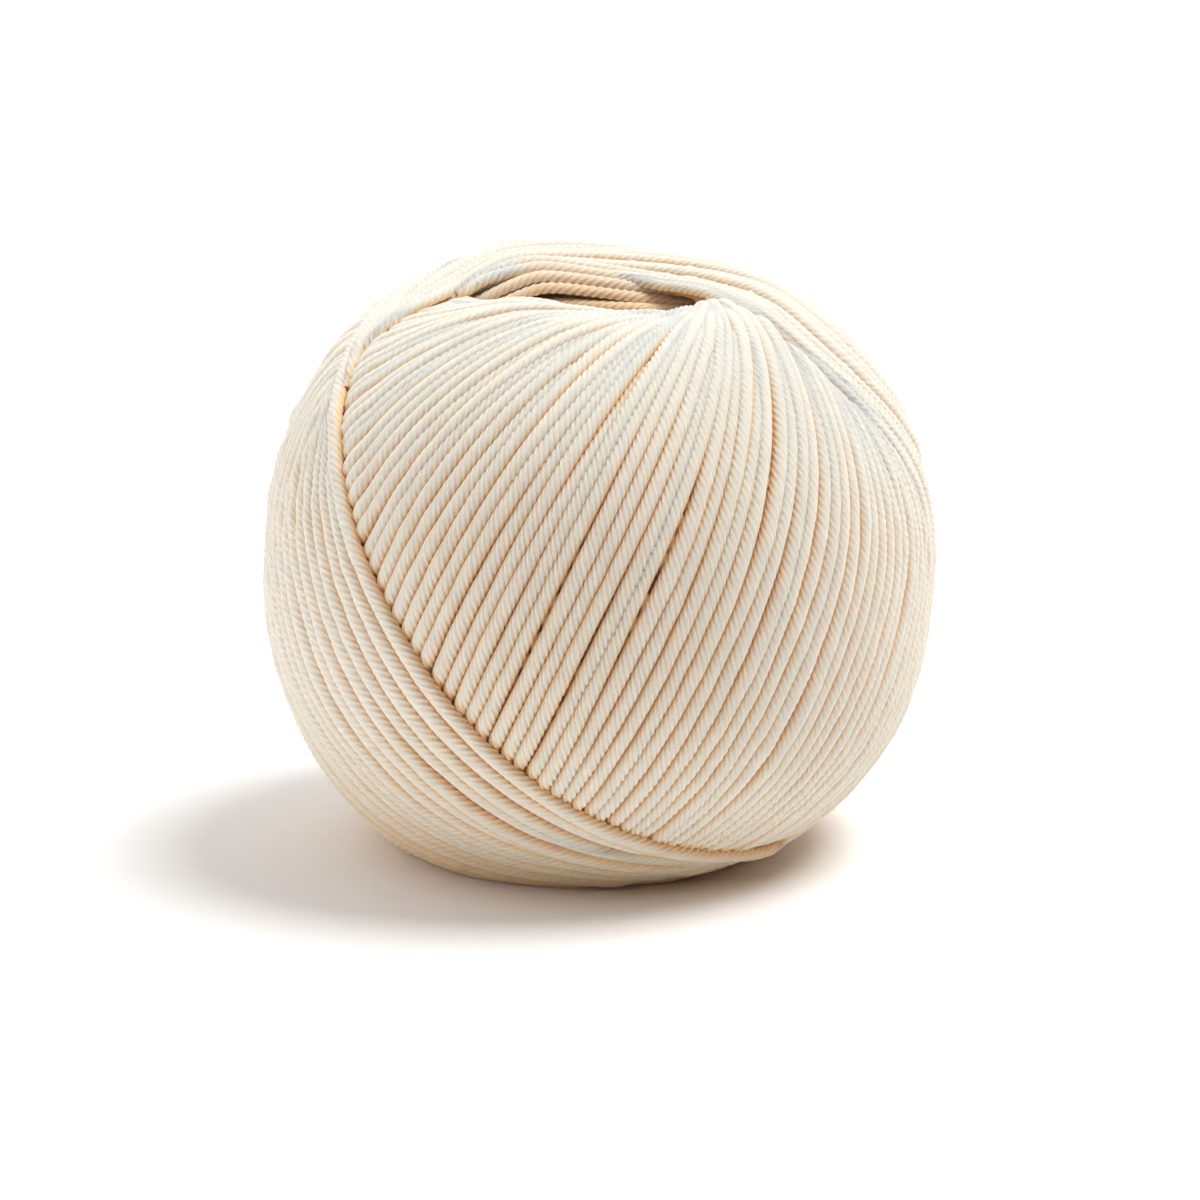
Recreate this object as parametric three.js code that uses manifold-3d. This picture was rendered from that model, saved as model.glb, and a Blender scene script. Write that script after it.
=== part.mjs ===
// A machine-wound ball of knitting yarn, about 80 mm across, standing on the rim of its centre hole.
//
// The yarn runs round the ball in loops that are nearly great circles. Each loop touches a small circle
// round the top hole and another round the bottom one, and each is laid a little further round than the
// one before. A loop has two arms: the falling arm leaves its touching point clockwise, seen from above,
// and the rising arm leaves it anticlockwise. The last loop laid divides the ball in two: on one side the
// falling arms lie on top, and on the other side the rising arms.
//
// Millimetres, +Z up, resting on Z = 0 with the footprint centred on the Z axis.
import * as THREE from "three";
import { mergeVertices } from "three/addons/utils/BufferGeometryUtils.js";
import Module from "manifold-3d";

// The ball's form.
const BALL_RADIUS = 38.9;
const POLAR_RATIO = 0.95; // half height over half width
const FULLNESS = 2.25; // 2 is a plain ellipsoid, and more has fuller shoulders
const CENTRE_HEIGHT = 32.7; // the rim is pressed flat where it stands
const LEAN = THREE.MathUtils.degToRad(4); // of the ball's axis, towards +X
const SETTLING_HEIGHT = 16; // the underside has settled level below this height
const BULGE = { top: 1.1, bottom: 2.4 }; // where the last loops cross each other
const BULGE_SPREAD = THREE.MathUtils.degToRad(28);

// The winding. The angles are from the axis to the circle that a side's loops touch.
const FALLING_SIDE = { sense: -1, holeAngle: THREE.MathUtils.degToRad(22) };
const RISING_SIDE = { sense: 1, holeAngle: THREE.MathUtils.degToRad(32) };
const LAST_LOOP_ANGLE = THREE.MathUtils.degToRad(41); // the last loop has slipped away from the hole
const LAST_LOOP_AZIMUTH = THREE.MathUtils.degToRad(142);
const STRAND_GROUPS = 52; // main twists: two or three strands side by side
const GROUP_RELIEF = 0.7; // half the depth between two groups
const WANDER = { height: 0.35, perGroup: 2.4, perArm: 2 }; // uneven heights, as phases in radians
const LAYER_STEP = 1.3; // the newest loops over the oldest

// The mesh of one wound side.
const ROWS = 26;
const LINES_PER_GROUP = 2; // a crest and a valley
const RIM_RELIEF = 0.3; // share of the relief that is left where the loops touch the hole
const LIP_ROWS = [
  { inward: 2.2, drop: 0.5 },
  { inward: 5.0, drop: 3.0 },
];

// The centre hole, which narrows to the winding spindle's size.
const HOLE_PROFILE = [
  { radius: 17, height: 46 },
  { radius: 12.4, height: 34.4 },
  { radius: 10.4, height: 29 },
  { radius: 8.5, height: 21 },
];
const HOLE_SIDES = 40;

const CUTTER = 400;
const OVERLAP = 0.8; // how far the falling side reaches past the plane of the last loop
const WELD = 1e-4;

const wasm = await Module();
wasm.setup();

// 0 to 1: how recently the loop touching at this azimuth was laid, counting the last half of the layer.
function recency(azimuth) {
  const behind = THREE.MathUtils.euclideanModulo(LAST_LOOP_AZIMUTH - azimuth, 2 * Math.PI);
  return Math.max(0, 1 - behind / Math.PI);
}

// The unit direction of the point where a loop comes nearest to the top of the axis.
function touchingPoint(azimuth, holeAngle) {
  const out = Math.sin(holeAngle);
  return new THREE.Vector3(out * Math.cos(azimuth), out * Math.sin(azimuth), Math.cos(holeAngle));
}

// The unit direction at an angle along one arm. sense is -1 on the falling arm and 1 on the rising arm.
function armDirection(azimuth, along, sense, holeAngle) {
  const crossing = new THREE.Vector3(-sense * Math.sin(azimuth), sense * Math.cos(azimuth), 0);
  const start = touchingPoint(azimuth, holeAngle).multiplyScalar(Math.cos(along));
  return start.addScaledVector(crossing, Math.sin(along));
}

// How far the surface stands out from the smooth ball.
function relief(azimuth, along, line, direction) {
  const openness = Math.sin(along); // 0 where the arm touches a hole, and 1 half way down
  const crest = line % LINES_PER_GROUP === 0 ? 1 : -1;
  const groups = crest * GROUP_RELIEF * THREE.MathUtils.lerp(RIM_RELIEF, 1, openness);
  const group = Math.floor(line / LINES_PER_GROUP);
  const wander = WANDER.height * Math.sin(WANDER.perGroup * group + WANDER.perArm * along) * openness;
  const step = LAYER_STEP * (recency(azimuth) - 0.5) * openness;
  const fromTop = direction.angleTo(touchingPoint(LAST_LOOP_AZIMUTH, LAST_LOOP_ANGLE));
  const topBulge = BULGE.top * Math.exp(-((fromTop / BULGE_SPREAD) ** 2));
  const bottomBulge = BULGE.bottom * Math.exp(-(((Math.PI - fromTop) / BULGE_SPREAD) ** 2));
  return groups + wander + step + topBulge + bottomBulge;
}

// The point that stands a height out from the smooth ball, in a direction from its centre.
function onBall(direction, height) {
  const across = Math.hypot(direction.x, direction.y);
  const up = Math.abs(direction.z) / POLAR_RATIO;
  const radius = BALL_RADIUS * (across ** FULLNESS + up ** FULLNESS) ** (-1 / FULLNESS);
  return direction.clone().multiplyScalar(radius + height);
}

// A rim's points moved towards the axis and into the ball. end is 1 at the top and -1 at the bottom.
function lipRing(rim, { inward, drop }, end) {
  return rim.map((point) => {
    const radius = Math.hypot(point.x, point.y);
    const share = (radius - inward) / radius;
    return new THREE.Vector3(point.x * share, point.y * share, point.z - end * drop);
  });
}

// One ring of points per row, from the top hole's lip to the bottom one's.
function woundRings({ sense, holeAngle }) {
  const lines = STRAND_GROUPS * LINES_PER_GROUP;
  const pointAt = (line, along) => {
    const azimuth = (2 * Math.PI * line) / lines;
    const direction = armDirection(azimuth, along, sense, holeAngle);
    return onBall(direction, relief(azimuth, along, line, direction));
  };
  const armRing = (along) => Array.from({ length: lines }, (_, line) => pointAt(line, along));
  const arms = Array.from({ length: ROWS + 1 }, (_, row) => armRing((Math.PI * row) / ROWS));
  const top = LIP_ROWS.map((lip) => lipRing(arms[0], lip, 1)).reverse();
  const bottom = LIP_ROWS.map((lip) => lipRing(arms[ROWS], lip, -1));
  return [...top, ...arms, ...bottom];
}

// The rings joined into a closed body, with a point on the axis at each end.
function woundGeometry(side) {
  const rings = woundRings(side);
  const lines = rings[0].length;
  const endPoint = (ring) => new THREE.Vector3(0, 0, ring.reduce((sum, point) => sum + point.z, 0) / lines);
  const points = [...rings.flat(), endPoint(rings[0]), endPoint(rings.at(-1))];
  const faces = [];
  for (let line = 0; line < lines; line++) {
    const next = (line + 1) % lines;
    faces.push(points.length - 2, line, next);
    for (let row = 0; row + 1 < rings.length; row++) {
      const above = row * lines;
      const below = above + lines;
      faces.push(above + line, below + line, below + next, above + line, below + next, above + next);
    }
    const last = (rings.length - 1) * lines;
    faces.push(points.length - 1, last + next, last + line);
  }
  const geometry = new THREE.BufferGeometry().setFromPoints(points);
  geometry.setIndex(faces);
  return geometry;
}

function solidOf(geometry) {
  const bare = geometry.clone();
  bare.deleteAttribute("normal");
  bare.deleteAttribute("uv");
  const merged = mergeVertices(bare, WELD);
  const vertProperties = new Float32Array(merged.attributes.position.array);
  const triVerts = new Uint32Array(merged.index.array);
  return new wasm.Manifold(new wasm.Mesh({ numProp: 3, vertProperties, triVerts }));
}

function geometryOf(solid) {
  const { vertProperties, triVerts } = solid.getMesh();
  const geometry = new THREE.BufferGeometry();
  geometry.setAttribute("position", new THREE.BufferAttribute(vertProperties, 3));
  geometry.setIndex(new THREE.BufferAttribute(triVerts, 1));
  return geometry;
}

// Everything behind the plane that a normal and its distance from the centre give.
function halfSpace(normal, distance) {
  const turn = new THREE.Quaternion().setFromUnitVectors(new THREE.Vector3(0, 0, 1), normal);
  const block = new THREE.BoxGeometry(CUTTER, CUTTER, CUTTER).translate(0, 0, distance - CUTTER / 2);
  return solidOf(block.applyQuaternion(turn));
}

// The underside turned back level, so that the whole rim stands on the floor.
function settled(geometry) {
  const { position } = geometry.attributes;
  for (let index = 0; index < position.count; index++) {
    const height = position.getZ(index);
    const share = THREE.MathUtils.clamp(1 - height / SETTLING_HEIGHT, 0, 1);
    position.setZ(index, height + position.getX(index) * Math.sin(LEAN) * share);
  }
  return geometry;
}

function centreHole() {
  const lower = HOLE_PROFILE.map(({ radius, height }) => new THREE.Vector2(radius, -height));
  const upper = HOLE_PROFILE.map(({ radius, height }) => new THREE.Vector2(radius, height)).reverse();
  const end = HOLE_PROFILE[0].height;
  const profile = [new THREE.Vector2(0, -end), ...lower, ...upper, new THREE.Vector2(0, end)];
  return solidOf(new THREE.LatheGeometry(profile, HOLE_SIDES).rotateX(Math.PI / 2));
}

// The pole of the side where the falling arms lie on top.
function fallingPole() {
  const nearest = touchingPoint(LAST_LOOP_AZIMUTH, LAST_LOOP_ANGLE);
  const halfWay = armDirection(LAST_LOOP_AZIMUTH, Math.PI / 2, FALLING_SIDE.sense, LAST_LOOP_ANGLE);
  return halfWay.cross(nearest).normalize();
}

function ballGeometry() {
  const pole = fallingPole();
  const falling = solidOf(woundGeometry(FALLING_SIDE)).subtract(halfSpace(pole, -OVERLAP));
  const rising = solidOf(woundGeometry(RISING_SIDE)).subtract(halfSpace(pole.clone().negate(), 0));
  const wound = falling.add(rising).subtract(centreHole());
  const leaned = settled(geometryOf(wound).rotateY(LEAN).translate(0, 0, CENTRE_HEIGHT));
  const floor = solidOf(new THREE.BoxGeometry(CUTTER, CUTTER, CUTTER).translate(0, 0, -CUTTER / 2));
  const standing = geometryOf(solidOf(leaned).subtract(floor));
  standing.computeBoundingBox();
  const middle = standing.boundingBox.getCenter(new THREE.Vector3());
  return standing.translate(-middle.x, -middle.y, 0);
}

const yarn = new THREE.MeshStandardMaterial({ color: 0xe9dcc4, roughness: 0.95, metalness: 0 });
const ball = new THREE.Mesh(ballGeometry(), yarn);
ball.name = "wound_ball";

const part = new THREE.Group();
part.add(ball);
export default part;
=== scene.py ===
"""A machine-wound ball of cream cotton yarn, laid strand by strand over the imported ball.

The yarn runs round the ball in loops that are nearly great circles. Each is nearest to the top of the
ball's axis at its touching point, at an azimuth that grows from loop to loop, and is laid over the ones
before it. From the touching point the falling arm leaves clockwise, seen from above, and the rising arm
anticlockwise. Lengths are millimetres and angles degrees, until a mesh is made.
"""
import math

import bpy
import numpy as np
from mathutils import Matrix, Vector


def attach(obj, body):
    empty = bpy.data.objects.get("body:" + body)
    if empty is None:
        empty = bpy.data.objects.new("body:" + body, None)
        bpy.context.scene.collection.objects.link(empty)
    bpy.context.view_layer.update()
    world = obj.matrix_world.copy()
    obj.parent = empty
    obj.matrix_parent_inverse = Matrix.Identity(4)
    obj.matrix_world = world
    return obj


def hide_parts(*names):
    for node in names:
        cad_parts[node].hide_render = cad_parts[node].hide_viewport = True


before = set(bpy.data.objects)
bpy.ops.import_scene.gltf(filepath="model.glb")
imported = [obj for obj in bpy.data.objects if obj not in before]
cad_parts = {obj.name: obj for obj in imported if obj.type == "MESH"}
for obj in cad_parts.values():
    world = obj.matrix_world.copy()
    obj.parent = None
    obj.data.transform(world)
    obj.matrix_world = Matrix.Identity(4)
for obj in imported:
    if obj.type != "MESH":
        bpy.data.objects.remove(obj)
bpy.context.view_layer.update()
MM = 0.001
rng = np.random.default_rng(26)

# The ball's form: that of the part's source with half a millimetre more radius, its own bulges at the last
# loops' crossings, a dip at one end of the top hole and a flatter top.
BALL_RADIUS = 39.4
POLAR_RATIO = 0.95
FULLNESS = 2.25
CENTRE_HEIGHT = 32.7
LEAN = 4.0
SETTLING_HEIGHT = 16.0
PRESSED = 0.35  # the height that the floor presses the lowest yarn into
BULGES = {"top": 1.9, "bottom": 1.2}
BULGE_SPREAD = {"top": 22.0, "bottom": 28.0}
DIP = {"azimuth": 192.0, "angle": 24.0, "spread": 14.0, "depth": 3.0}
FLAT_TOP = {"height": 34.9, "rise": 0.1}  # its height over the ball's centre, and its slope up to the back
LEAST_UP = 0.3  # keeps the flat top's formula away from the ball's sides
SOFT_EDGE = 0.5  # between the flat top and the rest
HOLE = {"height": [0, 21, 29, 32, 34.4], "radius": [8.5, 8.5, 10.4, 12.2, 15.5]}  # the same above and below
SINK = {"angle": 25.0, "span": 16.0, "depth": 1.2, "power": 1.4}  # of the strands that reach over a hole

# The winding.
LAST_AZIMUTH = 142.0
LAST_ANGLE = 41.0
LOOP_STEP = {"early": 2.98, "late": 3.8}  # the azimuths from one touching point to the next
LATE_TURN = 64.6  # the degrees of the last turn that have the late step
SAMPLES = 2048  # along one loop

# The angle from the axis to a loop, by the azimuth of its touching point: at the top, half way and at
# the bottom. The last loops have slipped away from the holes, and those before them into the top one.
TOUCHING = {
    "azimuth": [-218, -162, -140, -110, -75, -48, -20, 10, 30, 50, 70, 85, 100, 116, 128, 142],
    "top": [30, 31, 26.5, 24.5, 22.5, 22.5, 20, 16, 14, 11, 6, 5, 15, 25, 33, 41],
    "middle": [22, 22, 22, 22, 22, 22, 22, 22, 22, 22, 22, 24, 26, 30, 35, 41],
    "bottom": [24, 24, 24, 24, 24, 24, 23, 22, 22, 24, 29, 34, 38, 42, 44, 45],
    "slip": [2, 2, 2, 2, 2, 2, 2, 2, 2, 2.5, 3.5, 4.5, 5, 5, 5, 5],  # how late the rising arms slip in
}
EVEN_SLIP = 2  # how late the falling arms do, and all arms at the bottom
# The last loops bend round the hole: how far their azimuths turn, on either side.
BEND = {"centre": 92.0, "spread": 35.0, "falling": 44.0, "rising": 30.0}
BEND_SHAPE = {"power": 1.5, "scale": 1.42}  # the scale brings the shape's greatest value to 1

# How uneven the winding is: the sizes of a loop's waves, from one to a loop upwards, and of its shifts.
SIDEWAYS_WAVES = [0.09, 0.09, 0.09, 0.07, 0.06, 0.05]
SIDEWAYS_SHIFT = {"whole": 0.09, "ends": 0.28}
HEIGHT_WAVES = [0.05, 0.05, 0.04, 0.04, 0.03, 0.03, 0.03]
HEIGHT_SHIFT = 0.16  # at the ends
THICKNESS_WAVES = [0.01, 0.01, 0.01, 0.01, 0.01, 0.012, 0.012, 0.012]

# The yarn.
YARN_WIDTH = 1.88
YARN_HEIGHT = 1.9
PLY_PITCH = 0.96  # along the yarn, from one ply to the next
PLIES = 7
PLY_DEPTH = 0.2
# Painted shade in the grooves between plies
PLY_GROOVE_PAINTED_SHADE = 0.11  # how deep the tint takes the grooves between plies to be
LAY = PLY_PITCH * PLIES
HALF_SECTION = 105.0  # how far round a strand's section goes from its crest

# How the strands lie on each other. The layer's other measures are shares of it, and the angles say how
# many degrees of winding it takes for a strand to settle.
LAYER = 1.5  # one layer of strands over the next
SPIRAL = 0.6  # how much of the height that each turn adds is kept
CROSSED = {"depth": 0.88, "settling": 12}  # under the later arms that cross it
OVERLAPPED = {"depth": 0.7, "settling": 21}  # under the later arms beside it
COVERING = 0.4  # the share of a strand's width, on either side, that covers others
HEIGHT_BLEND = 1.2  # how far along the loops the strands' heights are evened out
WIDTH_BLEND = 4  # and their widths

# Strands are loosest on the front, where grooves open between them, and round the back of the top hole.
LOOSE = [
    {"azimuth": 262.0, "angle": 92.0, "spread": 42.0},
    {"azimuth": 255.0, "angle": 150.0, "spread": 28.0},
    {"azimuth": 105.0, "angle": 14.0, "spread": 24.0},
]
LEAST_LOOSE = 0.25
FILL = {"pressed": 1.13, "loose": 1.0}  # a strand's width over its distance from the next one
WIDEST = 1.55  # strands that lie far apart are flattened to at most this many widths
FLATTENED_HEIGHT = 0.3  # how much of its widening a strand also gains in height
PRESSED_PLIES = 0.55  # how deep a pressed strand's ply grooves are, over a loose one's

# What the painted shade takes for depth: how far a point lies under what is round it, and less on pressed
# strands, with more painted shade near the floor.
CREVICE = {"reach": 0.6, "deepest": 4, "pressed": 0.7}
FLOOR_SHADE = {"depth": 0.5, "reach": 6.0}  # added for the yarn that the floor shades

# How finely the last turn's strands are made: the rows for each ply, the points across a strand, how far
# under others a strand still counts as shown, which shares of its width show, and the shortest stretch.
SEEN = {"rows": 3, "columns": 9, "margin": 0.12, "shares": (0.3, 1.0), "shortest": 3.0}
HALF_HIDDEN = {"rows": 1, "columns": 6, "margin": 0.6, "shares": (0.0, 0.5), "shortest": 1.0}
PADDING = 1.6  # of strand past each end of a stretch that shows
HOLE_PADDING = 4  # times as much by the top hole
HOLE_REACH = 27.0  # the angle from the axis up to which a strand is by the hole

# What lies under the last turn.
EARLIER_TURNS = 7
LOOPS_SHOWN = 39  # of each earlier turn, at the holes
EARLIER = {"arc": 19.0, "samples": 40, "columns": 7, "thickness": 1.1}  # the arc on either side
EARLIER_PLACE = {"height": 33.5, "clearance": 0.9, "inward": 1.2}  # in the hole's wall, turned inwards
EARLIER_SHIFTS = {"azimuth": 3, "height": 0.3, "angle": 1.2}  # at random, either way
# Painted shade for the earlier turns' strands, which lie deep in the holes
EARLIER_PAINTED_SHADE = {"first": 0.1, "last": 0.9, "edge": 0.5}  # for the tint, and more at a strand's edges
# Strands of earlier turns that have slipped into the top hole: how far below the form and how far from the
# axis each is at its middle, and how much the drop grows for each degree along it.
SLIPPED = [
    {"drop": 0.6, "angle": 9.6, "azimuth": 90.0, "tilt": 0.05},
    {"drop": 0.1, "angle": 7.2, "azimuth": 92.0, "tilt": 0.06},
    {"drop": 0.4, "angle": 4.9, "azimuth": 95.0, "tilt": 0.07},
    {"drop": 0.95, "angle": 3.0, "azimuth": 97.0, "tilt": 0.06},
    {"drop": 1.9, "angle": 1.3, "azimuth": 97.0, "tilt": 0.05},
    {"drop": 3.1, "angle": -0.5, "azimuth": 91.0, "tilt": 0.0},
    {"drop": 4.5, "angle": -2.4, "azimuth": 86.0, "tilt": 0.0},
    {"drop": 6.0, "angle": -4.3, "azimuth": 80.0, "tilt": 0.0},
    {"drop": 7.8, "angle": -6.2, "azimuth": 84.0, "tilt": 0.0},
]
# The arc and the degrees of it that are tilted, on either side, and how far the ends dive into the ball.
SLIPPED_SHAPE = {"arc": 48.0, "samples": 90, "thickness": 1.1, "tilted": 15, "dive": 12, "power": 4}
# Painted shade for the slipped strands
SLIPPED_PAINTED_SHADE = {"first": 0.1, "step": 0.08}  # for the tint
CORE_DEPTH = 2.4  # under the form, and twice that at the dip
CORE_RIM = 24.5  # the angle from the axis to where the core's skin meets the hole
CORE = {"azimuths": 97, "angles": 60, "levels": 120, "row": 0.6}  # points each way, and a mapped row's length
CORE_TUBE = {"clearance": 1.6, "ridges": 0.35}  # behind the hole's wall, with ridges for strands
CORE_SHADE = {"depth": 1.3, "tone": 0.5}


# ---------------------------------------------------------------- directions and angles


def unit(vectors):
    return vectors / np.maximum(np.linalg.norm(vectors, axis=-1, keepdims=True), 1e-9)


def cos_deg(angle):
    return np.cos(np.radians(angle))


def sin_deg(angle):
    return np.sin(np.radians(angle))


def direction_at(azimuth, angle):
    """The unit direction at this azimuth, and at this angle from the axis."""
    azimuth, angle = np.asarray(azimuth), np.asarray(angle)
    flat = sin_deg(angle)
    return np.stack([flat * cos_deg(azimuth), flat * sin_deg(azimuth), cos_deg(angle) + 0 * flat], axis=-1)


def falling_away(azimuth):
    """The level direction in which the falling arm leaves the touching point at this azimuth."""
    azimuth = np.asarray(azimuth)
    return np.stack([sin_deg(azimuth), -cos_deg(azimuth), 0 * azimuth], axis=-1)


def angle_between(directions, direction):
    return np.degrees(np.arccos(np.clip(directions @ direction, -1, 1)))


# ---------------------------------------------------------------- the ball's form

CROSSING = direction_at(LAST_AZIMUTH, LAST_ANGLE)
DIP_DIRECTION = direction_at(DIP["azimuth"], DIP["angle"])


def dip_share(directions):
    """How much of the dip's depth there is, from 0 to 1."""
    return np.exp(-((angle_between(directions, DIP_DIRECTION) / DIP["spread"]) ** 2))


def form_radius(directions):
    """From the ball's centre to its surface, in the directions of the ball's own frame."""
    across = np.hypot(directions[..., 0], directions[..., 1])
    up = np.abs(directions[..., 2])
    radius = BALL_RADIUS * (across ** FULLNESS + (up / POLAR_RATIO) ** FULLNESS) ** (-1 / FULLNESS)
    from_crossing = angle_between(directions, CROSSING)
    radius = radius + BULGES["top"] * np.exp(-((from_crossing / BULGE_SPREAD["top"]) ** 2))
    radius = radius + BULGES["bottom"] * np.exp(-(((180 - from_crossing) / BULGE_SPREAD["bottom"]) ** 2))
    radius = radius - DIP["depth"] * dip_share(directions)
    slope = np.where(directions[..., 2] > 0, FLAT_TOP["rise"], 0) * directions[..., 1]
    flat = FLAT_TOP["height"] / np.maximum(up - slope, LEAST_UP)
    return -SOFT_EDGE * np.logaddexp(-radius / SOFT_EDGE, -flat / SOFT_EDGE)  # the smaller of the two


def sink(directions):
    """How far strands that reach over a hole's edge fall into it."""
    angle = np.degrees(np.arccos(np.clip(np.abs(directions[..., 2]), 0, 1)))
    inside = np.clip((SINK["angle"] - angle) / SINK["span"], 0, 1)
    return SINK["depth"] * inside ** SINK["power"]


def form_normal(directions):
    """Square to the form without its bulges, its dip and its flats."""
    across = np.hypot(directions[..., 0], directions[..., 1])[..., None]
    side = directions[..., :2] * across ** (FULLNESS - 2)
    up = directions[..., 2:] * np.abs(directions[..., 2:]) ** (FULLNESS - 2) / POLAR_RATIO ** FULLNESS
    return unit(np.concatenate([side, up], axis=-1))


def hole_radius(height):
    return np.interp(height, HOLE["height"], HOLE["radius"])


def place(points):
    """From the ball's own frame to the part's: leaned, stood on its rim and pressed on the floor."""
    lean = math.radians(LEAN)
    x = points[..., 0] * math.cos(lean) + points[..., 2] * math.sin(lean)
    z = -points[..., 0] * math.sin(lean) + points[..., 2] * math.cos(lean) + CENTRE_HEIGHT
    z = z + x * math.sin(lean) * np.clip(1 - z / SETTLING_HEIGHT, 0, 1)
    z = np.where(z < PRESSED, PRESSED * np.exp(np.minimum(z - PRESSED, 0) / PRESSED), z)
    return np.stack([x, points[..., 1], z], axis=-1)


# ---------------------------------------------------------------- the loops' paths

ALONG = np.linspace(0, 360, SAMPLES, endpoint=False)  # 0 to 180 is the falling arm, 180 to 360 the rising one
FALLING = ALONG < 180


def samples_in(length):
    """How many samples of a loop make up a length of it."""
    return length / (2 * np.pi * BALL_RADIUS) * SAMPLES


def waves(count, amplitudes):
    """A smooth periodic wander along each of several loops."""
    along = np.linspace(0, 2 * np.pi, SAMPLES, endpoint=False)
    total = np.zeros((count, SAMPLES))
    for number, amplitude in enumerate(amplitudes, start=1):
        size = amplitude * rng.normal(size=(count, 1))
        phase = rng.uniform(0, 2 * np.pi, size=(count, 1))
        total += size * np.cos(number * along + phase)
    return total


def smooth_along(values, width):
    """A running mean round each loop, in millimetres."""
    span = max(1, int(samples_in(width)))
    padded = np.concatenate([values[:, -span:], values, values[:, :span]], axis=1)
    total = np.cumsum(np.pad(padded, ((0, 0), (1, 0))), axis=1)
    size = 2 * span + 1
    return (total[:, size:] - total[:, :-size]) / size


def touching(name, azimuth):
    """One of TOUCHING's measures for each loop, by the azimuth of its touching point."""
    return np.interp(azimuth, TOUCHING["azimuth"], TOUCHING[name])[:, None]


def loop_directions(azimuth, sideways):
    """The unit directions along loops that touch at these azimuths, shifted sideways by millimetres."""
    middle = touching("middle", azimuth)
    top = touching("top", azimuth) - middle
    bottom = touching("bottom", azimuth) - middle
    down = cos_deg(ALONG)[None, :]
    slip = np.where(FALLING, EVEN_SLIP, touching("slip", azimuth))
    angle = middle + top * np.maximum(down, 0) ** slip + bottom * np.maximum(-down, 0) ** EVEN_SLIP
    bent = np.exp(-(((azimuth - BEND["centre"]) / BEND["spread"]) ** 2))[:, None]
    turn = BEND_SHAPE["scale"] * sin_deg(2 * ALONG) * np.maximum(down, 0) ** BEND_SHAPE["power"]
    turn = turn * np.where(FALLING, BEND["falling"], BEND["rising"])
    azimuth = azimuth[:, None] - bent * turn
    start = direction_at(azimuth, angle)
    across = falling_away(azimuth)
    path = start * down[..., None] + across * sin_deg(ALONG)[None, :, None]
    normal = np.cross(start, across)
    return unit(path + normal * (sideways / BALL_RADIUS)[..., None])


def side_vectors(directions):
    """Across each loop, along the ball's surface."""
    forward = np.roll(directions, -1, axis=1) - np.roll(directions, 1, axis=1)
    return unit(np.cross(directions, forward))


def looseness(directions):
    """How open the grooves are, from 0 to 1."""
    closeness = []
    for spot in LOOSE:
        apart = angle_between(directions, direction_at(spot["azimuth"], spot["angle"]))
        closeness.append(np.exp(-((apart / spot["spread"]) ** 2)))
    return LEAST_LOOSE + (1 - LEAST_LOOSE) * np.max(closeness, axis=0)


def own_widths(directions, sides):
    """The width that fills each strand's share of the surface, over the yarn's own."""
    apart = np.abs(np.sum((directions[1:] - directions[:-1]) * sides[:-1], axis=-1)) * BALL_RADIUS
    apart = np.concatenate([apart[:1], apart])
    apart = smooth_along((apart + np.roll(apart, -1, axis=0)) / 2, WIDTH_BLEND)
    fill = FILL["pressed"] + (FILL["loose"] - FILL["pressed"]) * looseness(directions)
    return np.clip(apart * fill / YARN_WIDTH, fill, WIDEST)


# ---------------------------------------------------------------- what lies over what

ROWS, COLUMNS = 720, 1440  # a map of the ball by the angle from its axis and the azimuth
NEVER = -1e9  # the time in cells that no loop covers
BARE = -99.0  # the height in them
STRIPE_STEP = 0.15
MAP_SHARES = np.linspace(0.98, 0, 10)  # where a strand's height is kept, as shares of its half width
SEEN_SHARES = np.array([-0.8, -0.4, 0.0, 0.4, 0.8])  # where it is looked at
LOOP_OVERLAP = 20  # samples that a loop in full view goes on past its start, under the ball


def cells(directions):
    """The map's cells in these directions, by number."""
    row = np.degrees(np.arccos(np.clip(directions[..., 2], -1, 1))) / 180 * ROWS
    column = np.degrees(np.arctan2(directions[..., 1], directions[..., 0])) % 360 / 360 * COLUMNS
    return np.minimum(row.astype(int), ROWS - 1) * COLUMNS + np.minimum(column.astype(int), COLUMNS - 1)


def latest_map(directions, sides, times):
    """For each cell, the time of the last of these loops that covers it."""
    latest = np.full(ROWS * COLUMNS, NEVER)
    reach = YARN_WIDTH * COVERING
    offsets = np.arange(-reach, reach, STRIPE_STEP) / BALL_RADIUS
    for path, side, time in zip(directions, sides, times):
        stripe = path[None] + side[None] * offsets[:, None, None]
        latest[cells(unit(stripe))] = time
    return latest


def pressed_down(rule, later_by):
    """How far strands that were laid later, by degrees of winding, press one down."""
    return rule["depth"] * (1 - np.exp(-later_by / rule["settling"]))


def strand_heights(directions, sides, azimuths):
    """The height of each strand's crest over the form, from what was laid over it."""
    heights = np.zeros(directions.shape[:2])
    arms = (FALLING, ~FALLING)
    maps = [latest_map(directions[:, arm], sides[:, arm], azimuths) for arm in arms]
    where = cells(directions)
    own = azimuths[:, None]
    for arm, own_map, other_map in zip(arms, maps, reversed(maps)):
        spot = where[:, arm]
        same = np.maximum(own_map[spot], own)
        other = other_map[spot]
        other = np.where(other == NEVER, own, other)
        age = LAST_AZIMUTH - own
        other_age = np.clip(LAST_AZIMUTH - other, 0, 360)
        crossed = pressed_down(CROSSED, np.maximum(other - own, 0))
        overlapped = pressed_down(OVERLAPPED, same - own)
        heights[:, arm] = LAYER * (SPIRAL * (1 - (age + other_age) / 360) - crossed - overlapped)
    return heights


def beside(directions, sides, share):
    """The cells beside a strand's middle, by a share of its half width."""
    return cells(unit(directions + sides * (share * YARN_WIDTH / 2 / BALL_RADIUS)))


def section_drop(share):
    """How far a strand's surface lies under its crest, a share of its half width to the side."""
    return YARN_HEIGHT / 2 * (1 - math.sqrt(1 - share * share))


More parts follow.
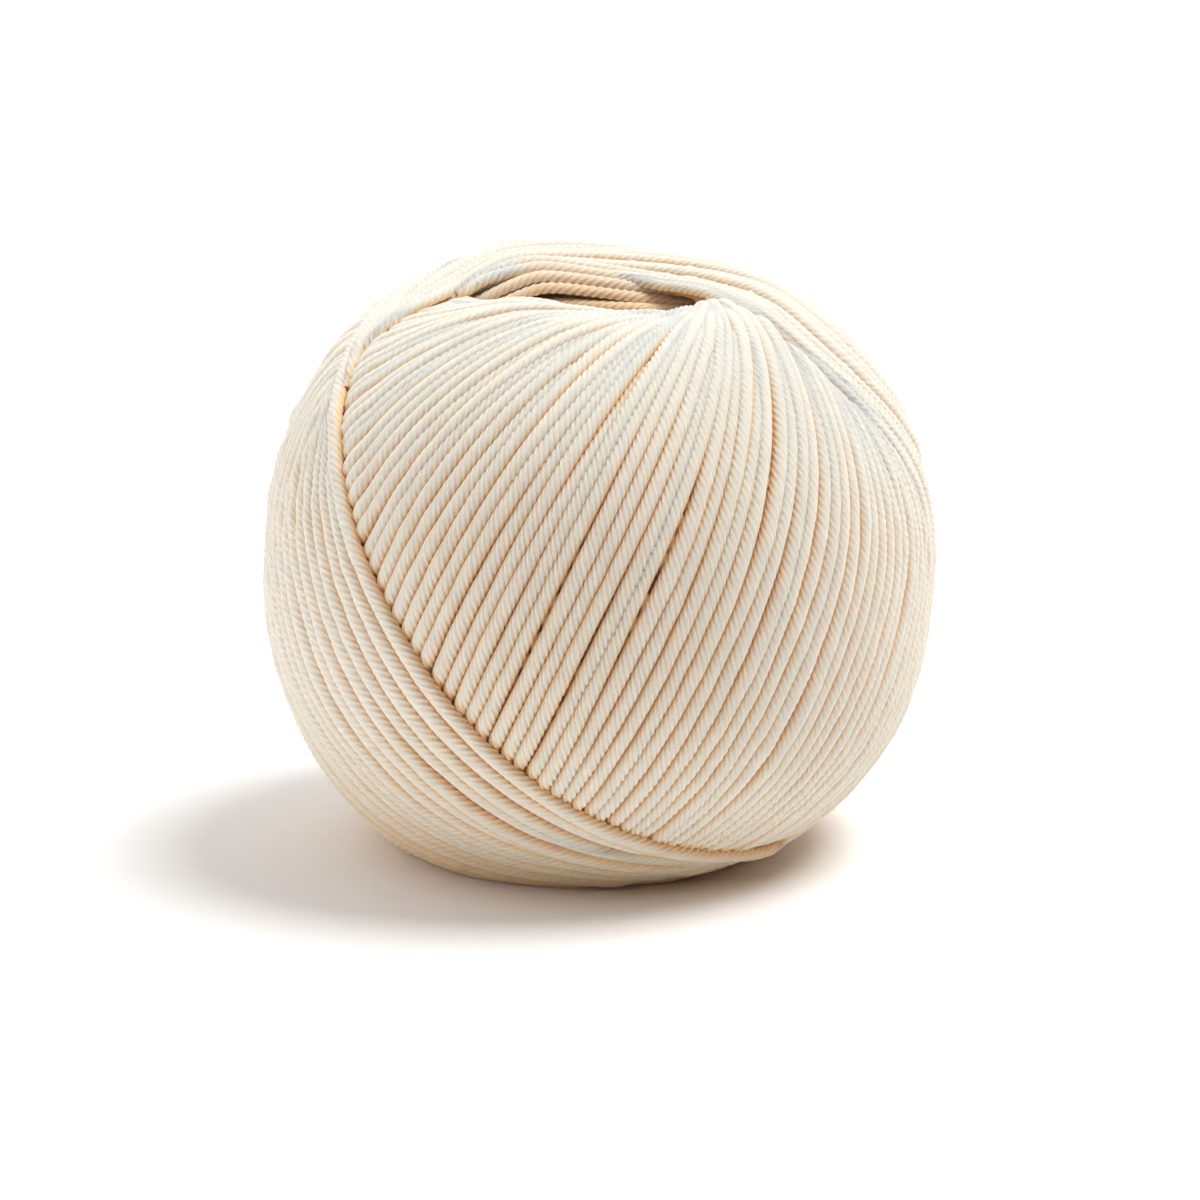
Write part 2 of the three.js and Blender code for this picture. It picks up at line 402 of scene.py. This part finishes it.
def height_map(directions, sides, heights):
    """The highest strand surface in each cell."""
    highest = np.full(ROWS * COLUMNS, BARE)
    for path, side, height in zip(directions, sides, heights):
        for share in MAP_SHARES:
            for spot in (beside(path, side, -share), beside(path, side, share)):
                highest[spot] = np.maximum(highest[spot], height - section_drop(share))
    return highest


def visible_share(directions, sides, heights, highest, margin):
    """How much of each strand's width shows, or lies under others by less than the margin."""
    shown = np.zeros(heights.shape)
    for share in SEEN_SHARES:
        spot = beside(directions, sides, share)
        shown += (heights - section_drop(share) > highest[spot] - margin) / len(SEEN_SHARES)
    return shown


def stretches(shown):
    """Start and end samples of the stretches of one loop that show, as it runs round."""
    if shown.all():
        return [(SAMPLES // 2, SAMPLES + SAMPLES // 2 + LOOP_OVERLAP)]
    starts = np.flatnonzero(shown & ~np.roll(shown, 1))
    return [(start, start + int(np.argmin(np.roll(shown, -start)))) for start in starts]


def painted_shade_depth(points, highest):
    """How far points lie under the highest strand close round them, and near the floor, as the amount of
    painted shade.
    """
    directions = unit(points)
    heights = np.linalg.norm(points, axis=-1) - form_radius(directions)
    east = unit(np.stack([-directions[..., 1], directions[..., 0], 0 * directions[..., 0]], axis=-1))
    north = np.cross(directions, east)
    top = highest[cells(directions)]
    for angle in range(0, 360, 45):
        offset = east * math.cos(math.radians(angle)) + north * math.sin(math.radians(angle))
        top = np.maximum(top, highest[cells(unit(directions + offset * (CREVICE["reach"] / BALL_RADIUS)))])
    openness = CREVICE["pressed"] + (1 - CREVICE["pressed"]) * looseness(directions)
    above_floor = np.maximum(points[..., 2] + CENTRE_HEIGHT, 0)
    shade = FLOOR_SHADE["depth"] * np.exp(-above_floor / FLOOR_SHADE["reach"])
    return np.clip(top - heights, 0, CREVICE["deepest"]) * openness + shade


# ---------------------------------------------------------------- the strands' meshes

MOST_FACES = 95000  # in a piece, so that it stays under 200,000 triangles
ATLAS_WIDTH = 90.0  # millimetres of strand across the baking map
ATLAS_MARGIN = 0.02
ATLAS_GAP = 1  # between two strands
SHELF_MARGIN = 0.03


class Strands:
    """Collects strand surfaces, and makes them into pieces of a bounded size."""

    def __init__(self):
        self.batches = [[]]
        self.faces = 0

    def add(self, vertices, lengthwise, tone, depth):
        faces = (vertices.shape[0] - 1) * (vertices.shape[1] - 1)
        if self.faces + faces > MOST_FACES:
            self.batches.append([])
            self.faces = 0
        self.batches[-1].append((vertices, lengthwise, tone, depth))
        self.faces += faces

    def pieces(self, name, material):
        return [strand_piece(f"{name}_{number}", batch, material)
                for number, batch in enumerate(self.batches, start=1)]


def atlas(batch):
    """Places for each face's four corners in the baking map: strands lie in shelves, end to end."""
    travelled = 0.0
    shelves, places = [], []
    for vertices, lengthwise, _, _ in batch:
        rows, columns = vertices.shape[:2]
        step = abs(lengthwise[1] - lengthwise[0])
        begin = travelled + np.arange(rows - 1) * step
        travelled += rows * step + ATLAS_GAP
        shelf = np.floor(begin / ATLAS_WIDTH)
        left = begin - shelf * ATLAS_WIDTH
        low = np.linspace(SHELF_MARGIN, 1 - SHELF_MARGIN, columns)
        corners = [(0, 0), (0, 1), (1, 1), (1, 0)]
        face = np.empty((rows - 1, columns - 1, 4, 2))
        for corner, (row, column) in enumerate(corners):
            face[:, :, corner, 0] = ((left + row * step) / ATLAS_WIDTH)[:, None]
            face[:, :, corner, 1] = shelf[:, None] + low[column:columns - 1 + column][None, :]
        places.append(face.reshape(-1, 2))
        shelves.append(shelf[-1])
    places = np.concatenate(places)
    places[:, 0] = ATLAS_MARGIN + places[:, 0] * (1 - 2 * ATLAS_MARGIN)
    places[:, 1] = places[:, 1] / (max(shelves) + 1)
    return places


def grid_mesh(name, points, faces):
    """A smooth mesh of four-sided faces."""
    mesh = bpy.data.meshes.new(name)
    mesh.vertices.add(len(points))
    mesh.vertices.foreach_set("co", points.astype(np.float32).ravel())
    mesh.loops.add(faces.size)
    mesh.loops.foreach_set("vertex_index", faces.astype(np.int32).ravel())
    mesh.polygons.add(len(faces))
    mesh.polygons.foreach_set("loop_start", np.arange(0, faces.size, 4, dtype=np.int32))
    mesh.polygons.foreach_set("loop_total", np.full(len(faces), 4, dtype=np.int32))
    mesh.update(calc_edges=True)
    mesh.polygons.foreach_set("use_smooth", np.ones(len(faces), dtype=bool))
    return mesh


def strand_piece(name, batch, material):
    """One object of several strand surfaces, with what the yarn's material reads."""
    points, faces = [], []
    # depth carries the amount of painted shade; tone differs at random from strand to strand
    attributes = {"along": [], "around": [], "tone": [], "depth": []}
    count = 0
    for vertices, lengthwise, tone, depth in batch:
        rows, columns = vertices.shape[:2]
        grid = count + np.arange(rows * columns).reshape(rows, columns)
        corners = np.stack([grid[:-1, :-1], grid[:-1, 1:], grid[1:, 1:], grid[1:, :-1]], axis=-1)
        faces.append(corners.reshape(-1, 4))
        points.append(vertices.reshape(-1, 3))
        attributes["along"].append(np.repeat(lengthwise, columns))
        attributes["around"].append(np.tile(np.linspace(-1, 1, columns), rows))
        attributes["tone"].append(np.full(rows * columns, tone))
        attributes["depth"].append(depth.ravel())
        count += rows * columns
    mesh = grid_mesh(name, place(np.concatenate(points)) * MM, np.concatenate(faces))
    for label, values in attributes.items():
        layer = mesh.attributes.new(label, "FLOAT", "POINT")
        layer.data.foreach_set("value", np.concatenate(values).astype(np.float32))
    baking_map = mesh.uv_layers.new(name="OFBake")
    baking_map.uv.foreach_set("vector", atlas(batch).astype(np.float32).ravel())
    mesh.materials.append(material)
    piece = bpy.data.objects.new(name, mesh)
    bpy.context.scene.collection.objects.link(piece)
    return piece


def at_spots(spots, travelled, vectors):
    """Vectors along a strand, looked up at distances along it."""
    return np.stack([np.interp(spots, travelled, vectors[:, axis]) for axis in range(3)], axis=-1)


def strand_surface(core, crest, thickness, rows_in_ply, columns, phase):
    """The skin of one stretch, its rows' places along the yarn, and the painted shade of its plies' grooves.

    Its rows run along the plies, which slope as the middle bar of an S.
    """
    forward = unit(np.gradient(core, axis=0))
    crest = unit(crest - forward * np.sum(crest * forward, axis=1, keepdims=True))
    side = np.cross(forward, crest)
    travelled = np.concatenate([[0], np.cumsum(np.linalg.norm(np.diff(core, axis=0), axis=1))])
    length = travelled[-1]
    row_step = PLY_PITCH / rows_in_ply
    rows = np.arange(0, max(2, int(length / row_step)) + 1)
    turn = np.radians(np.linspace(-HALF_SECTION, HALF_SECTION, columns))
    slant = turn / (2 * np.pi) * LAY
    spots = np.clip(rows[:, None] * row_step - slant[None, :], 0, length)
    core, crest, side = (at_spots(spots, travelled, vectors) for vectors in (core, crest, side))
    size = np.interp(spots, travelled, thickness)
    groove = ((rows_in_ply > 1) & (rows % rows_in_ply == 0))[:, None]
    openness = PRESSED_PLIES + (1 - PRESSED_PLIES) * looseness(unit(core))
    plies = 1 - PLY_DEPTH * groove * openness
    tall = 1 + FLATTENED_HEIGHT * (size - 1)
    up = (np.cos(turn)[None, :] * (YARN_HEIGHT / 2) * tall * plies)[..., None]
    out = (np.sin(turn)[None, :] * (YARN_WIDTH / 2) * size * plies)[..., None]
    return core + crest * up + side * out, rows * row_step + phase, PLY_GROOVE_PAINTED_SHADE * groove * openness


# ---------------------------------------------------------------- the winding

# Where along the yarn each strand's fibres start, by its number.
PHASE = {"last": 3.7, "earlier": 5.3, "slipped": 4.1}
AXIS = np.array([0, 0, 1.0])


def wind():
    """The loops of the last turn, which are all that shows outside the holes."""
    late = np.arange(0, LATE_TURN, LOOP_STEP["late"])
    early = np.arange(LATE_TURN, 360, LOOP_STEP["early"])
    azimuths = LAST_AZIMUTH - np.concatenate([late, early])[::-1]
    count = len(azimuths)
    ends = cos_deg(ALONG)[None, :] ** 2
    sideways = waves(count, SIDEWAYS_WAVES) + SIDEWAYS_SHIFT["whole"] * rng.normal(size=(count, 1))
    sideways = sideways + SIDEWAYS_SHIFT["ends"] * ends * rng.normal(size=(count, 1))
    directions = loop_directions(azimuths, sideways)
    sides = side_vectors(directions)
    heights = smooth_along(strand_heights(directions, sides, azimuths), HEIGHT_BLEND)
    heights = smooth_along(heights, HEIGHT_BLEND) + waves(count, HEIGHT_WAVES)
    heights = heights + HEIGHT_SHIFT * ends * rng.normal(size=(count, 1)) - sink(directions)
    thickness = (1 + waves(count, THICKNESS_WAVES)) * own_widths(directions, sides)
    return directions, sides, heights, thickness


def lay_strands(strands, winding, highest, detail):
    """Adds the stretches of the last turn's loops whose visible share is in the detail's range."""
    directions, sides, heights, thickness = winding
    share = visible_share(directions, sides, heights, highest, detail["margin"])
    least, most = detail["shares"]
    shown = (share > least) & (share <= most)
    normals = form_normal(directions)
    over_form = normals * (heights - YARN_HEIGHT / 2)[..., None]
    centres = directions * form_radius(directions)[..., None] + over_form
    near_hole = angle_between(directions, AXIS) < HOLE_REACH
    padding = int(samples_in(PADDING))
    for number in range(len(directions)):
        spread = shown[number].copy()
        for shift in (-padding, -padding // 2, padding // 2, padding):
            spread |= np.roll(shown[number], shift)
            spread |= np.roll(shown[number], HOLE_PADDING * shift) & near_hole[number]
        for first, last in stretches(spread):
            if last - first < samples_in(detail["shortest"]):
                continue
            spot = (number, np.arange(first, last) % SAMPLES)
            surface, lengthwise, painted_ply_shade = strand_surface(
                centres[spot], normals[spot], thickness[spot],
                detail["rows"], detail["columns"], number * PHASE["last"])
            # The depth attribute is painted shade: in crevices, near the floor and in the ply grooves
            strands.add(surface, lengthwise, rng.uniform(), painted_shade_depth(surface, highest) + painted_ply_shade)


def arc(azimuth, angle, along):
    """The directions along a great circle on either side of its touching point."""
    start = direction_at(azimuth, angle)
    return start * cos_deg(along)[:, None] + falling_away(azimuth) * sin_deg(along)[:, None]


def lay_earlier_turns(strands):
    """The loops of earlier turns where they show, round both holes."""
    along = np.linspace(-EARLIER["arc"], EARLIER["arc"], EARLIER["samples"])
    ages = np.arange(360 + 180 / LOOPS_SHOWN, 360 * (1 + EARLIER_TURNS), 360 / LOOPS_SHOWN)
    thickness = np.full(EARLIER["samples"], EARLIER["thickness"])
    across_strand = np.linspace(-1, 1, EARLIER["columns"])
    for number, age in enumerate(ages):
        azimuth = LAST_AZIMUTH - age + rng.uniform(-EARLIER_SHIFTS["azimuth"], EARLIER_SHIFTS["azimuth"])
        crest_height = LAYER * (1 - 2 * age / 360)
        crest_height += rng.uniform(-EARLIER_SHIFTS["height"], EARLIER_SHIFTS["height"])
        height = EARLIER_PLACE["height"] + crest_height
        wall_angle = math.degrees(math.atan((hole_radius(height) + EARLIER_PLACE["clearance"]) / height))
        age_share = (age / 360 - 1) / EARLIER_TURNS
        for end in (1, -1):
            angle = wall_angle + rng.uniform(-EARLIER_SHIFTS["angle"], EARLIER_SHIFTS["angle"])
            path = end * arc(azimuth, angle, along)
            core = path * (form_radius(path) + crest_height - YARN_HEIGHT / 2)[:, None]
            inward = -unit(path * (1 - AXIS))
            crest = unit(form_normal(path) + EARLIER_PLACE["inward"] * inward)
            surface, lengthwise, _ = strand_surface(
                core, crest, thickness, 1, EARLIER["columns"], number * PHASE["earlier"])
            # Painted shade: more for older turns and at a strand's edges
            depth = np.full(surface.shape[:2], EARLIER_PAINTED_SHADE["first"])
            depth += (EARLIER_PAINTED_SHADE["last"] - EARLIER_PAINTED_SHADE["first"]) * age_share
            depth += EARLIER_PAINTED_SHADE["edge"] * across_strand ** 2
            strands.add(surface, lengthwise, rng.uniform(), depth)


def lay_slipped_strands(strands):
    """The strands that nearly close the top hole. Each dives into the ball towards its ends."""
    shape = SLIPPED_SHAPE
    along = np.linspace(-shape["arc"], shape["arc"], shape["samples"])
    thickness = np.full(shape["samples"], shape["thickness"])
    for number, slipped in enumerate(SLIPPED):
        path = arc(slipped["azimuth"], slipped["angle"], along)
        drop = slipped["drop"] + slipped["tilt"] * np.clip(along, -shape["tilted"], shape["tilted"])
        drop = drop + shape["dive"] * (along / shape["arc"]) ** shape["power"]
        core = path * (form_radius(path) - drop - YARN_HEIGHT / 2)[:, None]
        surface, lengthwise, painted_ply_shade = strand_surface(
            core, form_normal(path), thickness, SEEN["rows"], SEEN["columns"], number * PHASE["slipped"])
        # Painted shade: more for each strand that lies deeper in the hole, plus the ply grooves'
        depth = SLIPPED_PAINTED_SHADE["first"] + SLIPPED_PAINTED_SHADE["step"] * number + painted_ply_shade
        strands.add(surface, lengthwise, rng.uniform(), depth)


def core_piece(material):
    """What closes the ball behind the strands: a tube round the hole, inside a skin under the last turn."""
    azimuths = np.linspace(0, 360, CORE["azimuths"])
    angles = np.linspace(CORE_RIM, 180 - CORE_RIM, CORE["angles"])
    outer = direction_at(*np.meshgrid(azimuths, angles))
    outer = outer * (form_radius(outer) - CORE_DEPTH * (1 + dip_share(outer)))[..., None]
    upward = np.linspace(0, 1, CORE["levels"])[1:-1, None]
    top, bottom = outer[0, :, 2], outer[-1, :, 2]
    heights = bottom + upward * (top - bottom)
    level = bottom.min() + upward * (top.max() - bottom.min())
    ridges = CORE_TUBE["ridges"] * np.cos(2 * np.pi * (heights / YARN_WIDTH + azimuths / 360))
    radii = hole_radius(np.abs(level)) + CORE_TUBE["clearance"] - ridges
    inner = np.stack([radii * cos_deg(azimuths), radii * sin_deg(azimuths), heights], axis=-1)
    rings = np.concatenate([outer, inner, outer[:1]])
    lengthwise = np.arange(len(rings)) * CORE["row"]
    depth = np.full(rings.shape[:2], CORE_SHADE["depth"])
    return strand_piece("core", [(rings, lengthwise, CORE_SHADE["tone"], depth)], material)


# ---------------------------------------------------------------- materials


class Tree:
    """The node tree of a material or a world, with short ways to add and join nodes."""

    def __init__(self, owner):
        owner.use_nodes = True
        self.nodes = owner.node_tree.nodes
        self.links = owner.node_tree.links

    def add(self, kind, inputs, **settings):
        node = self.nodes.new(kind)
        for name, value in settings.items():
            setattr(node, name, value)
        for name, value in inputs.items():
            self.set(node.inputs[name], value)
        return node

    def set(self, socket, value):
        if isinstance(value, bpy.types.NodeSocket):
            self.links.new(value, socket)
        else:
            socket.default_value = value

    def set_shader(self, values):
        shader = self.nodes["Principled BSDF"]
        for name, value in values.items():
            self.set(shader.inputs[name], value)

    def attribute(self, name):
        return self.add("ShaderNodeAttribute", {}, attribute_name=name).outputs["Fac"]

    def noise(self, inputs):
        return self.add("ShaderNodeTexNoise", inputs).outputs["Fac"]

    def product(self, first, second):
        return self.add("ShaderNodeMath", {0: first, 1: second}, operation="MULTIPLY").outputs[0]

    def scaled(self, value, low, high, to_low=0.0, to_high=1.0):
        inputs = {"Value": value, "From Min": low, "From Max": high, "To Min": to_low, "To Max": to_high}
        return self.add("ShaderNodeMapRange", inputs, interpolation_type="SMOOTHSTEP").outputs["Result"]

    def mixed(self, share, first, second, blend="MIX"):
        inputs = {"Factor": share, 6: first, 7: second}  # 6 and 7 are its colours
        return self.add("ShaderNodeMix", inputs, data_type="RGBA", blend_type=blend).outputs[2]


# The yarn's colour by the depth that is kept with its points: on top, in a groove, and deep in the ball. The
# groove and deep colours are painted shade.
CREAM = (0.89, 0.85, 0.778, 1)
CREVICE_PAINTED_SHADE = (0.93, 0.67, 0.42, 1)
CREVICE_DEPTHS = (0.1, 0.62)
DEEP_PAINTED_SHADE = (0.92, 0.48, 0.21, 1)
DEEP_DEPTHS = (0.55, 1.7)
FIBRES = {"along": 5.0, "around": 1.6, "tone": 90.0}  # how fast the fibres change with each attribute
FIBRE_RANGE = (0.3, 0.7)
FIBRE_SHADE = {"Red": 0.94, "Green": 0.915, "Blue": 0.88}  # the darkest, as a share of the colour
FIBRE_LIGHT = 1.02
PATCH_RANGE = (0.35, 0.65)
PATCH_SHADE = (0.99, 0.97, 0.93, 1)
YARN_LOOK = {
    "Specular IOR Level": 0.25,
    "Subsurface Weight": 0.35,
    "Subsurface Radius": (1.0, 0.45, 0.2),
    "Subsurface Scale": 0.0015,
    "Sheen Weight": 0.2,
    "Sheen Roughness": 0.5,
}
YARN_ROUGHNESS = (0.82, 0.95)
FLOOR_LOOK = {"Base Color": (0.95, 0.95, 0.95, 1), "Specular IOR Level": 0.2}
FLOOR_ROUGHNESS = (0.6, 0.75)
FLOOR_GRAIN_RANGE = (0.3, 0.7)


def yarn_material():
    material = bpy.data.materials.new("cotton_yarn")
    tree = Tree(material)
    depth = tree.attribute("depth")
    spot = tree.add("ShaderNodeCombineXYZ", {
        axis: tree.product(tree.attribute(name), FIBRES[name])
        for axis, name in (("X", "along"), ("Y", "around"), ("Z", "tone"))}).outputs[0]
    fibres = tree.noise({"Vector": spot, "Scale": 1.0, "Detail": 3.0, "Roughness": 0.6})
    patches = tree.noise({"Scale": 120.0, "Detail": 2.0})
    # Painted shade: the depth attribute mixes in the darker, warmer crevice and deep colours
    colour = tree.mixed(tree.scaled(depth, *CREVICE_DEPTHS), CREAM, CREVICE_PAINTED_SHADE)
    colour = tree.mixed(tree.scaled(depth, *DEEP_DEPTHS), colour, DEEP_PAINTED_SHADE)
    shade = tree.add("ShaderNodeCombineColor", {
        name: tree.scaled(fibres, *FIBRE_RANGE, darkest, FIBRE_LIGHT)
        for name, darkest in FIBRE_SHADE.items()}).outputs[0]
    colour = tree.mixed(1.0, colour, shade, "MULTIPLY")
    patched = tree.mixed(1.0, colour, PATCH_SHADE, "MULTIPLY")
    colour = tree.mixed(tree.scaled(patches, *PATCH_RANGE), colour, patched)
    bump = tree.add("ShaderNodeBump", {"Height": fibres, "Strength": 0.5, "Distance": 0.00012})
    roughness = tree.scaled(fibres, *FIBRE_RANGE, *YARN_ROUGHNESS)
    tree.set_shader(YARN_LOOK)
    tree.set_shader({"Base Color": colour, "Roughness": roughness, "Normal": bump.outputs["Normal"]})
    return material


def floor_material():
    material = bpy.data.materials.new("studio_floor")
    tree = Tree(material)
    grain = tree.noise({"Scale": 900.0, "Detail": 2.0})
    tree.set_shader(FLOOR_LOOK)
    tree.set_shader({"Roughness": tree.scaled(grain, *FLOOR_GRAIN_RANGE, *FLOOR_ROUGHNESS)})
    return material


# ---------------------------------------------------------------- the stage

FLOOR_SIZE = 40  # metres
PHOTO_SIZE = 1200  # pixels
BALL_CENTRE_PIXEL = (599.5, 564.5)
PIXELS_PER_MM = 8.4
CAMERA_ELEVATION = 14.0
CAMERA_DISTANCE = 0.45  # metres
SENSOR = 36.0
SUN_TOWARDS = (0.48, 0.12, 1.0)
SUN_STRENGTH = 2.8
SUN_WIDTH = 30.0
# The studio round the ball, over a plain horizon. Each side has the cosines of the angles from its
# direction at which its light begins and is full.
HORIZON = (1.42, 1.42, 1.42, 1)
STUDIO_SIDES = [
    {"towards": (0, 0, 1), "from": 0.1, "full": 0.9, "colour": (0.86, 0.86, 0.86, 1)},
    {"towards": (0.7, 1, 0.2), "from": 0.1, "full": 0.9, "colour": (0.62, 0.62, 0.62, 1)},
    {"towards": (0.5, -1, 0), "from": -0.08, "full": 0.72, "colour": (0.1, 0.05, 0.02, 1)},  # not lit
]


def make_floor():
    bpy.ops.mesh.primitive_plane_add(size=FLOOR_SIZE)
    floor = bpy.context.object
    floor.name = "floor"
    floor.data.materials.append(floor_material())


def make_camera():
    """A camera as far from the ball as it takes to show the photo's perspective, at the photo's scale."""
    pixel = MM / PIXELS_PER_MM
    data = bpy.data.cameras.new("camera")
    data.sensor_width = SENSOR
    data.lens = SENSOR * CAMERA_DISTANCE / (pixel * PHOTO_SIZE)
    camera = bpy.data.objects.new("camera", data)
    bpy.context.scene.collection.objects.link(camera)
    elevation = math.radians(CAMERA_ELEVATION)
    back = Vector((0, -math.cos(elevation), math.sin(elevation)))
    up = Vector((0, math.sin(elevation), math.cos(elevation)))
    aim = Vector((0, 0, CENTRE_HEIGHT * MM)) + up * (BALL_CENTRE_PIXEL[1] - PHOTO_SIZE / 2) * pixel
    aim.x -= (BALL_CENTRE_PIXEL[0] - PHOTO_SIZE / 2) * pixel
    camera.location = aim + back * CAMERA_DISTANCE
    camera.rotation_euler = (-back).to_track_quat("-Z", "Y").to_euler()
    bpy.context.scene.camera = camera


def make_world():
    world = bpy.data.worlds.new("studio")
    tree = Tree(world)
    coordinates = tree.add("ShaderNodeTexCoord", {}).outputs["Generated"]
    sky = HORIZON
    for side in STUDIO_SIDES:
        facing = tree.add("ShaderNodeVectorMath", {0: coordinates, 1: Vector(side["towards"]).normalized()},
                          operation="DOT_PRODUCT").outputs["Value"]
        sky = tree.mixed(tree.scaled(facing, side["from"], side["full"]), sky, side["colour"])
    tree.set(tree.nodes["Background"].inputs["Color"], sky)
    return world


def make_light():
    scene = bpy.context.scene
    scene.view_settings.view_transform = "Standard"
    scene.world = make_world()
    data = bpy.data.lights.new("key", "SUN")
    data.energy = SUN_STRENGTH
    data.angle = math.radians(SUN_WIDTH)
    light = bpy.data.objects.new("key", data)
    scene.collection.objects.link(light)
    light.rotation_euler = (-Vector(SUN_TOWARDS)).to_track_quat("-Z", "Y").to_euler()


# ---------------------------------------------------------------- the model

yarn = yarn_material()
winding = wind()
highest = height_map(*winding[:3])
top_strands, under_strands, hole_strands = Strands(), Strands(), Strands()
lay_strands(top_strands, winding, highest, SEEN)
lay_strands(under_strands, winding, highest, HALF_HIDDEN)
lay_earlier_turns(hole_strands)
lay_slipped_strands(hole_strands)
pieces = top_strands.pieces("strands", yarn) + under_strands.pieces("under_strands", yarn)
pieces += hole_strands.pieces("hole_strands", yarn) + [core_piece(yarn)]
for piece in pieces:
    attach(piece, "root")
    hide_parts("wound_ball")

make_floor()
make_camera()
make_light()
